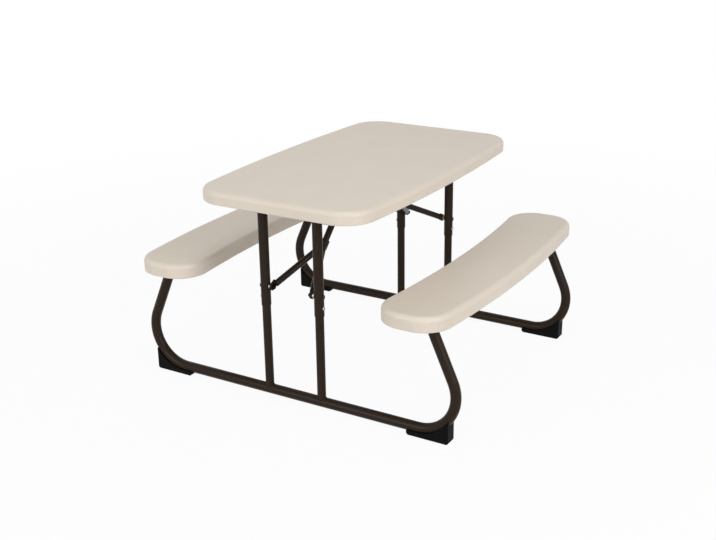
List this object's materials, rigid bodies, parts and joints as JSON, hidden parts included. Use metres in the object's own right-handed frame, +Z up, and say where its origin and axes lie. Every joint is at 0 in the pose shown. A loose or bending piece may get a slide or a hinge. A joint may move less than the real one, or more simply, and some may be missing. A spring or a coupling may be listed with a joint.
{
  "type": "folding picnic table",
  "caption": "Child-size folding picnic table with a moulded top and curved moulded benches on bent-tube end frames, braced below the top so that frames and benches swing up flat.",
  "frame": {"origin": "on the floor below the centre of the table top", "axes": "+X along the table towards the far end, +Y across it towards the left bench, +Z up"},
  "size_m": [0.83, 0.8954, 0.533],
  "materials": {
    "moulded_plastic": "fine-textured almond polyethylene",
    "powder_coat": "dark bronze powder coat, satin",
    "black_plastic": "black moulded plastic",
    "zinc_steel": "bright zinc plate"
  },
  "bodies": {
    "far_frame": {"far_base_tube": "powder_coat", "far_brace_bolts": "zinc_steel", "far_brace_nuts": "black_plastic", "far_brace_washers": "zinc_steel", "far_cross_tube": "powder_coat", "far_cross_tube_plugs": "black_plastic", "far_left_foot": "black_plastic", "far_left_lower_leg": "powder_coat", "far_left_upper_leg": "powder_coat", "far_right_foot": "black_plastic", "far_right_lower_leg": "powder_coat", "far_right_upper_leg": "powder_coat", "far_sleeve_screws": "zinc_steel", "far_tube_caps": "black_plastic"},
    "far_brace": {"far_brace_collar": "powder_coat", "far_brace_saddle": "black_plastic", "far_brace_stem": "powder_coat", "far_left_brace_arm": "powder_coat", "far_right_brace_arm": "powder_coat"},
    "table": {"far_brace_keeper": "zinc_steel", "far_keeper_rod": "zinc_steel", "far_left_pivot_bracket": "zinc_steel", "far_right_pivot_bracket": "zinc_steel", "near_brace_keeper": "zinc_steel", "near_keeper_rod": "zinc_steel", "near_left_pivot_bracket": "zinc_steel", "near_right_pivot_bracket": "zinc_steel", "table_screws": "zinc_steel", "table_top": "moulded_plastic"},
    "left_bench": {"left_bench": "moulded_plastic", "left_bench_bolts": "zinc_steel", "left_bench_far_bracket": "powder_coat", "left_bench_near_bracket": "powder_coat", "left_bench_nuts": "black_plastic", "left_bench_screws": "zinc_steel"},
    "near_frame": {"near_base_tube": "powder_coat", "near_brace_bolts": "zinc_steel", "near_brace_nuts": "black_plastic", "near_brace_washers": "zinc_steel", "near_cross_tube": "powder_coat", "near_cross_tube_plugs": "black_plastic", "near_left_foot": "black_plastic", "near_left_lower_leg": "powder_coat", "near_left_upper_leg": "powder_coat", "near_right_foot": "black_plastic", "near_right_lower_leg": "powder_coat", "near_right_upper_leg": "powder_coat", "near_sleeve_screws": "zinc_steel", "near_tube_caps": "black_plastic"},
    "near_brace": {"near_brace_collar": "powder_coat", "near_brace_saddle": "black_plastic", "near_brace_stem": "powder_coat", "near_left_brace_arm": "powder_coat", "near_right_brace_arm": "powder_coat"},
    "right_bench": {"right_bench": "moulded_plastic", "right_bench_bolts": "zinc_steel", "right_bench_far_bracket": "powder_coat", "right_bench_near_bracket": "powder_coat", "right_bench_nuts": "black_plastic", "right_bench_screws": "zinc_steel"}
  },
  "joints": [
    {"name": "near_frame_fold", "type": "hinge", "parent": "table", "child": "near_frame", "pos_m": [-0.3385, 0, 0.488], "axis": [0, -1, 0], "range_deg": [0, 85]},
    {"name": "far_frame_fold", "type": "hinge", "parent": "table", "child": "far_frame", "pos_m": [0.3385, 0, 0.488], "axis": [0, -1, 0], "range_deg": [0, 85]},
    {"name": "left_bench_pivot", "type": "hinge", "parent": "near_frame", "child": "left_bench", "pos_m": [-0.3385, 0.3762, 0.28], "axis": [0, -1, 0], "range_deg": [-85, 0]},
    {"name": "right_bench_pivot", "type": "hinge", "parent": "near_frame", "child": "right_bench", "pos_m": [-0.3385, -0.3762, 0.28], "axis": [0, -1, 0], "range_deg": [-85, 0]},
    {"name": "near_brace_pivot", "type": "hinge", "parent": "near_frame", "child": "near_brace", "pos_m": [-0.3385, 0, 0.292], "axis": [0, -1, 0], "range_deg": [-118.6, 0]},
    {"name": "far_brace_pivot", "type": "hinge", "parent": "far_frame", "child": "far_brace", "pos_m": [0.3385, 0, 0.292], "axis": [0, -1, 0], "range_deg": [-44.2, 0]}
  ],
  "couplings": [
    {"joint": "far_frame_fold", "follows": "near_frame_fold", "ratio": 1},
    {"joint": "left_bench_pivot", "follows": "near_frame_fold", "ratio": -1},
    {"joint": "right_bench_pivot", "follows": "near_frame_fold", "ratio": -1},
    {"joint": "near_brace_pivot", "follows": "near_frame_fold", "ratio": -1.39},
    {"joint": "far_brace_pivot", "follows": "near_frame_fold", "ratio": -0.514}
  ]
}
